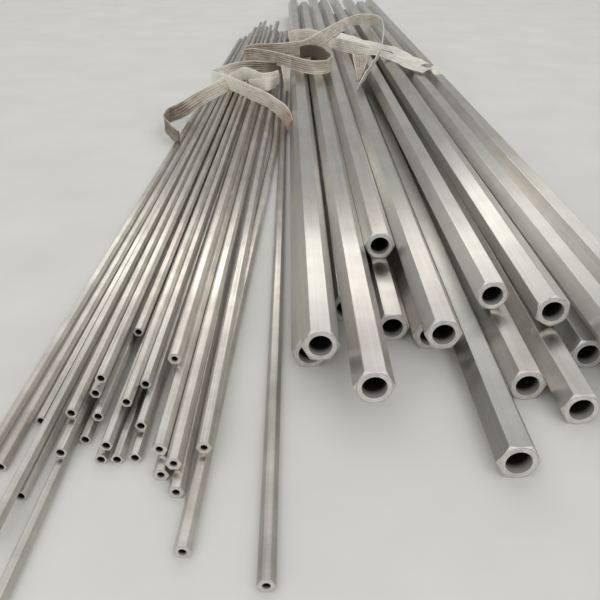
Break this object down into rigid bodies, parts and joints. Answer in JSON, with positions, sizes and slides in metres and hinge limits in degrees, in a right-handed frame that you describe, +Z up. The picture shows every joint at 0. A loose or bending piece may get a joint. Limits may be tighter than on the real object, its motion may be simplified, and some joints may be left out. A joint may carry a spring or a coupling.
{
  "type": "bundle of hexagonal steel pipes",
  "caption": "Loose bundle of hexagonal stainless steel pipes with round bores, a group of large ones and a group of small ones side by side, with webbing lifting slings lying over them",
  "frame": {"origin": "middle of the whole bundle in plan, on the floor that the pipes lie on", "axes": "+Y runs along the pipes from their near ends to their far ends, +Z is up, +X is from the small pipes to the large ones"},
  "size_m": [1.5772, 7.034, 0.2535],
  "materials": {
    "stainless": "satin drawn stainless steel with light handling marks",
    "sling": "worn woven polyester webbing, grey beige"
  },
  "bodies": {
    "root": {"large_low_1": "stainless", "large_low_2": "stainless", "large_low_3": "stainless", "large_low_4": "stainless", "large_low_5": "stainless", "large_low_6": "stainless", "large_low_7": "stainless", "large_low_8": "stainless", "large_low_9": "stainless", "large_top_1": "stainless", "large_top_2": "stainless", "large_top_3": "stainless", "large_top_4": "stainless", "large_top_5": "stainless", "large_top_6": "stainless", "large_top_7": "stainless", "large_top_8": "stainless", "sling_left": "sling", "sling_right": "sling", "sling_small": "sling", "thick_row1_1": "stainless", "thick_row1_2": "stainless", "thick_row1_3": "stainless", "thick_row2_1": "stainless", "thick_row2_2": "stainless", "thick_row2_3": "stainless", "thick_row3_1": "stainless", "thick_single": "stainless", "thin_row1_1": "stainless", "thin_row1_2": "stainless", "thin_row1_3": "stainless", "thin_row1_4": "stainless", "thin_row1_5": "stainless", "thin_row1_6": "stainless", "thin_row1_7": "stainless", "thin_row1_8": "stainless", "thin_row1_9": "stainless", "thin_row2_1": "stainless", "thin_row2_2": "stainless", "thin_row2_3": "stainless", "thin_row2_4": "stainless", "thin_row2_5": "stainless", "thin_row3_1": "stainless", "thin_row3_2": "stainless", "thin_row3_3": "stainless", "thin_row3_4": "stainless", "thin_row3_5": "stainless", "thin_row4_1": "stainless"}
  },
  "joints": []
}
